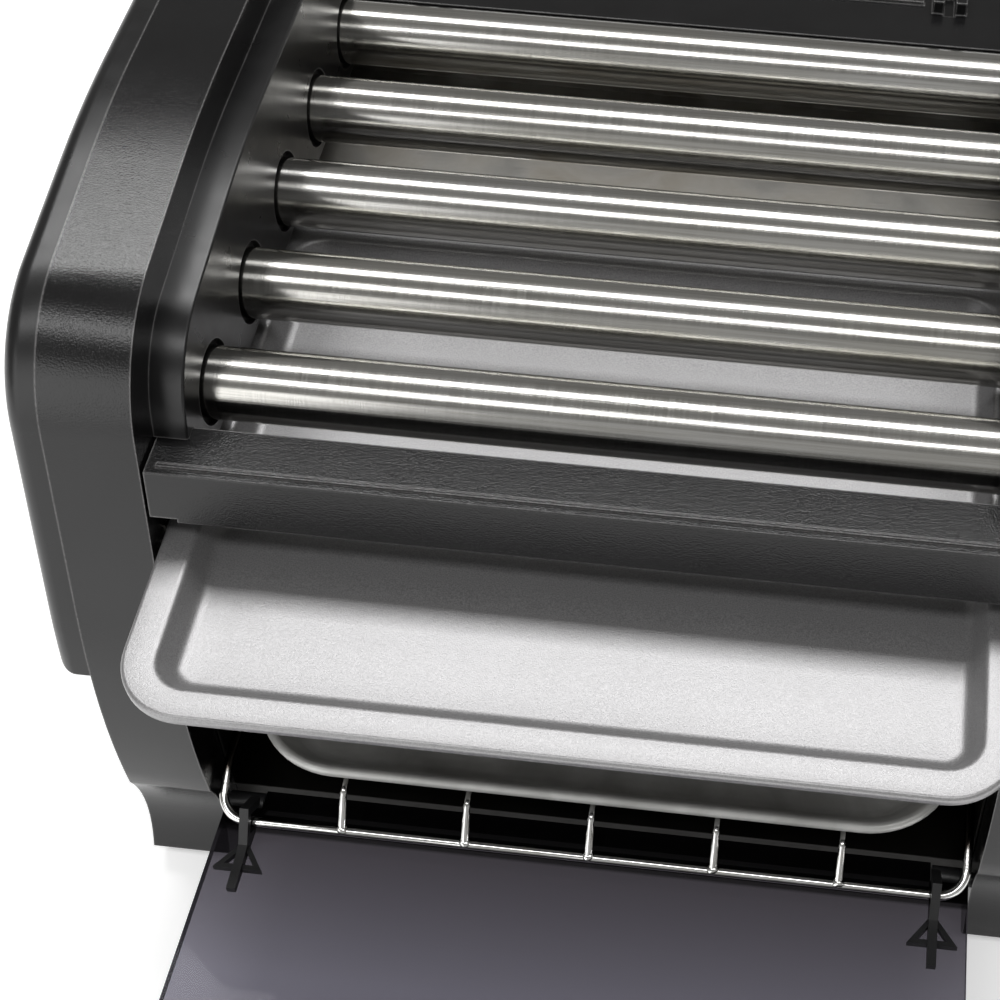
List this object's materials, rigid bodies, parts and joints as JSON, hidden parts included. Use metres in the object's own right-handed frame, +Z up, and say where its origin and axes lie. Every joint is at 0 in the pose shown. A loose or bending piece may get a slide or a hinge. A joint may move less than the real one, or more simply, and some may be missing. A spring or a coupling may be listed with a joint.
{
  "type": "hot dog roller grill with toaster oven",
  "caption": "Countertop roller grill with turning steel tubes above a small toaster oven with a drop-down glass door, wire rack, pan and slide-out drip tray.",
  "frame": {"origin": "centre of the body footprint on the table, which is also the bottom centre of the whole box, door and cord included", "axes": "+X to the right seen from the front, +Y to the back, +Z up"},
  "size_m": [0.392, 0.5004, 0.234],
  "materials": {
    "grained_black": "fine grained moulded black",
    "gloss_black": "semi-gloss moulded black",
    "roller_steel": "polished tube with faint marks around it",
    "gear_nylon": "natural nylon",
    "rod_steel": "dark sheath",
    "tray_metal": "fine grainy coated sheet",
    "pan_metal": "dark non-stick coat",
    "shield_steel": "dull sheet",
    "plated_steel": "plated sheet",
    "chrome_wire": "bright plated wire",
    "screw_steel": "plated",
    "smoked_glass": "smoked toughened glass",
    "black_fitting": "fine matte moulded black",
    "rocker_red": "glossy rocker",
    "lamp_amber": "amber lens",
    "bush_ptfe": "dark heat-proof bush",
    "ceramic_white": "unglazed steatite",
    "foot_rubber": "soft rubber",
    "cord_black": "cord sheath",
    "motor_case": "plated can"
  },
  "bodies": {
    "root": {"back_panel": "plated_steel", "base_pan": "plated_steel", "control_panel": "gloss_black", "drive_plate": "plated_steel", "element_insulators": "ceramic_white", "front_beam": "grained_black", "gear_motor": "motor_case", "heat_shield": "shield_steel", "idler_axles": "screw_steel", "indicator_lens": "lamp_amber", "left_casing": "grained_black", "left_roller_wall": "gloss_black", "left_side_cover": "gloss_black", "mode_switch_body": "black_fitting", "oven_elements": "rod_steel", "oven_liner": "shield_steel", "pan_head_screws": "screw_steel", "power_cord": "cord_black", "rear_beam": "grained_black", "right_casing": "grained_black", "right_roller_wall": "gloss_black", "right_side_cover": "gloss_black", "roller_bushes": "bush_ptfe", "roller_heating_rods": "rod_steel", "roller_switch_housing": "black_fitting", "rubber_feet": "foot_rubber", "strain_relief": "black_fitting", "thermostat_body": "black_fitting", "timer_body": "black_fitting"},
    "roller_1": {"roller_tube_1": "roller_steel", "roller_gear_1": "gear_nylon"},
    "roller_2": {"roller_tube_2": "roller_steel", "roller_gear_2": "gear_nylon"},
    "roller_3": {"roller_tube_3": "roller_steel", "roller_gear_3": "gear_nylon"},
    "roller_4": {"roller_tube_4": "roller_steel", "roller_gear_4": "gear_nylon"},
    "roller_5": {"roller_tube_5": "roller_steel", "roller_gear_5": "gear_nylon"},
    "idler_1": {"idler_gear_1": "gear_nylon"},
    "idler_2": {"idler_gear_2": "gear_nylon"},
    "idler_3": {"idler_gear_3": "gear_nylon"},
    "idler_4": {"idler_gear_4": "gear_nylon"},
    "motor_output": {"motor_pinion": "screw_steel"},
    "drip_tray_body": {"drip_tray": "tray_metal"},
    "rack": {"wire_rack": "chrome_wire", "baking_pan": "pan_metal"},
    "door": {"door_glass": "smoked_glass", "door_hinge_rail": "black_fitting", "door_handle": "black_fitting", "handle_screws": "screw_steel", "rack_hooks": "black_fitting"},
    "timer_control": {"timer_knob": "black_fitting", "timer_shaft": "screw_steel"},
    "mode_control": {"mode_knob": "black_fitting", "mode_shaft": "screw_steel"},
    "temperature_control": {"temperature_knob": "black_fitting", "temperature_shaft": "screw_steel"},
    "switch_rocker": {"roller_switch_rocker": "rocker_red"}
  },
  "joints": [
    {"name": "roller_1_spin", "type": "hinge", "parent": "root", "child": "roller_1", "pos_m": [0, -0.0775, 0.181], "axis": [1, 0, 0], "continuous": true},
    {"name": "roller_2_spin", "type": "hinge", "parent": "root", "child": "roller_2", "pos_m": [0, -0.03575, 0.181], "axis": [1, 0, 0], "continuous": true},
    {"name": "roller_3_spin", "type": "hinge", "parent": "root", "child": "roller_3", "pos_m": [0, 0.006, 0.181], "axis": [1, 0, 0], "continuous": true},
    {"name": "roller_4_spin", "type": "hinge", "parent": "root", "child": "roller_4", "pos_m": [0, 0.04775, 0.181], "axis": [1, 0, 0], "continuous": true},
    {"name": "roller_5_spin", "type": "hinge", "parent": "root", "child": "roller_5", "pos_m": [0, 0.0895, 0.181], "axis": [1, 0, 0], "continuous": true},
    {"name": "idler_1_spin", "type": "hinge", "parent": "root", "child": "idler_1", "pos_m": [0.105, -0.05663, 0.16724], "axis": [1, 0, 0], "continuous": true},
    {"name": "idler_2_spin", "type": "hinge", "parent": "root", "child": "idler_2", "pos_m": [0.105, -0.01487, 0.16724], "axis": [1, 0, 0], "continuous": true},
    {"name": "idler_3_spin", "type": "hinge", "parent": "root", "child": "idler_3", "pos_m": [0.105, 0.02687, 0.16724], "axis": [1, 0, 0], "continuous": true},
    {"name": "idler_4_spin", "type": "hinge", "parent": "root", "child": "idler_4", "pos_m": [0.105, 0.06863, 0.16724], "axis": [1, 0, 0], "continuous": true},
    {"name": "motor_output_spin", "type": "hinge", "parent": "root", "child": "motor_output", "pos_m": [0.105, -0.01487, 0.14774], "axis": [1, 0, 0], "continuous": true},
    {"name": "drip_tray_slide", "type": "slide", "parent": "root", "child": "drip_tray_body", "axis": [0, 0.9994, 0.0349], "range_m": [-0.04, 0.061]},
    {"name": "door_hinge", "type": "hinge", "parent": "root", "child": "door", "pos_m": [0, -0.1335, 0.029], "axis": [-1, 0, 0], "range_deg": [0, 90]},
    {"name": "rack_slide", "type": "slide", "parent": "root", "child": "rack", "axis": [0, 1, 0], "range_m": [0, 0.0245]},
    {"name": "timer_turn", "type": "hinge", "parent": "root", "child": "timer_control", "pos_m": [0.14025, -0.14138, 0.066], "axis": [0, 0.9995, -0.0308], "range_deg": [0, 300]},
    {"name": "mode_turn", "type": "hinge", "parent": "root", "child": "mode_control", "pos_m": [0.14025, -0.13665, 0.108], "axis": [0, 0.9813, -0.1923], "range_deg": [0, 120]},
    {"name": "temperature_turn", "type": "hinge", "parent": "root", "child": "temperature_control", "pos_m": [0.14025, -0.12552, 0.15], "axis": [0, 0.9603, -0.279], "range_deg": [0, 270]},
    {"name": "roller_switch_rock", "type": "hinge", "parent": "root", "child": "switch_rocker", "pos_m": [0.14025, -0.11602, 0.18628], "axis": [-1, 0, 0], "range_deg": [0, 18]}
  ],
  "couplings": [
    {"joint": "roller_2_spin", "follows": "roller_1_spin", "ratio": 1},
    {"joint": "roller_3_spin", "follows": "roller_1_spin", "ratio": 1},
    {"joint": "roller_4_spin", "follows": "roller_1_spin", "ratio": 1},
    {"joint": "roller_5_spin", "follows": "roller_1_spin", "ratio": 1},
    {"joint": "idler_1_spin", "follows": "roller_1_spin", "ratio": -1.2727},
    {"joint": "idler_2_spin", "follows": "roller_1_spin", "ratio": -1.2727},
    {"joint": "idler_3_spin", "follows": "roller_1_spin", "ratio": -1.2727},
    {"joint": "idler_4_spin", "follows": "roller_1_spin", "ratio": -1.2727},
    {"joint": "motor_output_spin", "follows": "roller_1_spin", "ratio": 1.6471},
    {"joint": "rack_slide", "follows": "door_hinge", "m_per_rad": 0.015088}
  ]
}
